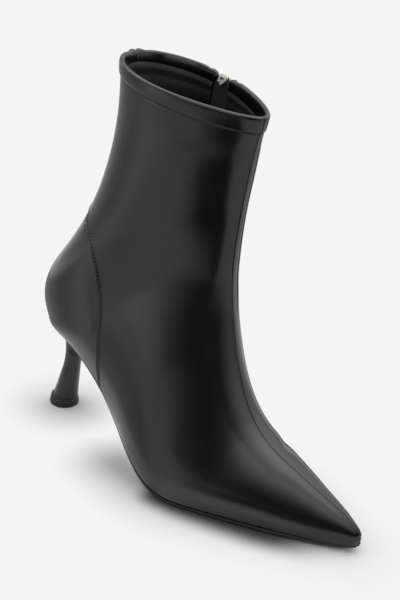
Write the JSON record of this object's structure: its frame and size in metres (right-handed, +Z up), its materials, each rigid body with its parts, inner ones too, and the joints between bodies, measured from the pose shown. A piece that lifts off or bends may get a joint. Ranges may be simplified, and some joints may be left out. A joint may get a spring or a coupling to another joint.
{
  "type": "stiletto ankle boot",
  "caption": "Right-foot pointed-toe ankle boot with a hollow leather shaft, stitched collar band, medial side zip, thin outsole and a slim flared heel.",
  "frame": {"origin": "middle of the boot's box, on the floor that heel tip and forefoot stand on", "axes": "+X to the toe, +Y to the medial side, +Z up"},
  "size_m": [0.2244, 0.074, 0.226],
  "materials": {
    "upper_leather": "smooth black, semi-gloss",
    "collar_leather": "smooth black, semi-gloss",
    "zip_tape_cloth": "woven black tape",
    "zip_slider_metal": "polished nickel tone",
    "zip_pull_metal": "satin nickel tone",
    "insole_sock": "matte black sock lining",
    "outsole_black": "matte black",
    "heel_cover": "black, semi-matte",
    "heel_tip_rubber": "matte black"
  },
  "bodies": {
    "boot": {"upper": "upper_leather", "collar_band": "collar_leather", "zip_tape": "zip_tape_cloth", "zip_slider": "zip_slider_metal", "insole": "insole_sock", "outsole": "outsole_black", "heel": "heel_cover", "heel_tip": "heel_tip_rubber"},
    "zip_pull": {"zip_pull": "zip_pull_metal"}
  },
  "joints": [
    {"name": "zip_pull_hinge", "type": "hinge", "parent": "boot", "child": "zip_pull", "pos_m": [-0.02287, 0.02984, 0.21229], "axis": [0.9945, -0.0536, -0.0898], "range_deg": [0, 170]}
  ]
}
